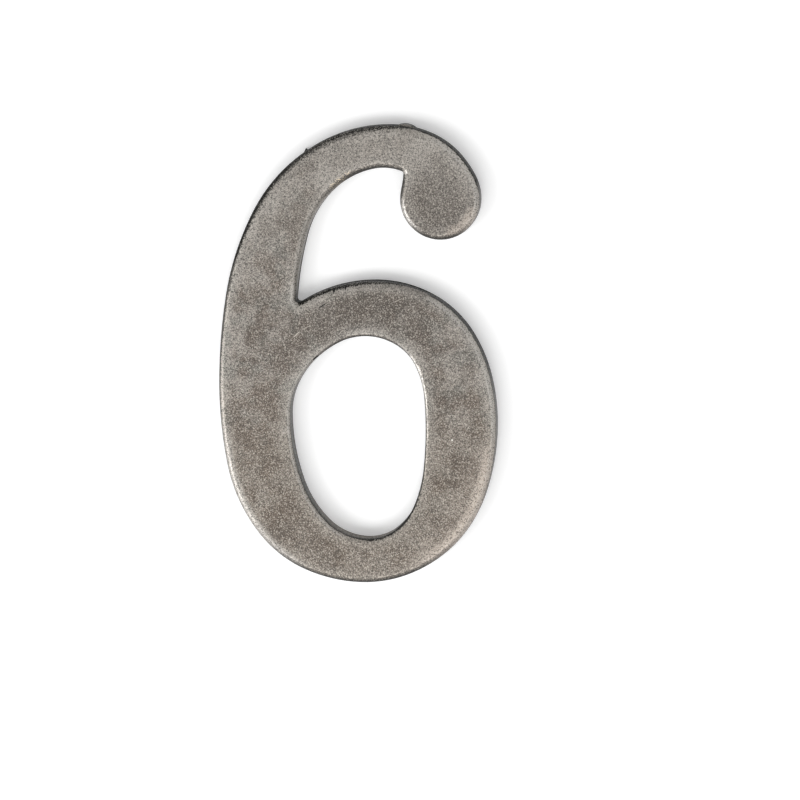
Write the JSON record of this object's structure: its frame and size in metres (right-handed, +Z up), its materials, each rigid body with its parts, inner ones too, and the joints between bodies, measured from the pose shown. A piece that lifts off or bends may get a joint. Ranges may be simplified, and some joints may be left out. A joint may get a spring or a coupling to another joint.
{
  "type": "magnetic house number",
  "caption": "Flat cast metal figure six with a ball terminal, held to a steel door by disc magnets let into its back.",
  "frame": {"origin": "on the flat back, half way across the width, on the bar that closes the bowl, 42 mm above the foot", "axes": "+Z up the figure, +X to the reader's right, +Y out of the back into the door, so the figure faces -Y"},
  "size_m": [0.0424, 0.003, 0.0702],
  "materials": {
    "antique_pewter": "antique pewter on cast zinc alloy, tumbled and worn",
    "nickel_plating": "bright nickel plating"
  },
  "bodies": {
    "root": {"numeral": "antique_pewter", "terminal_magnet": "nickel_plating", "stem_magnet": "nickel_plating", "bowl_magnet": "nickel_plating"}
  },
  "joints": []
}
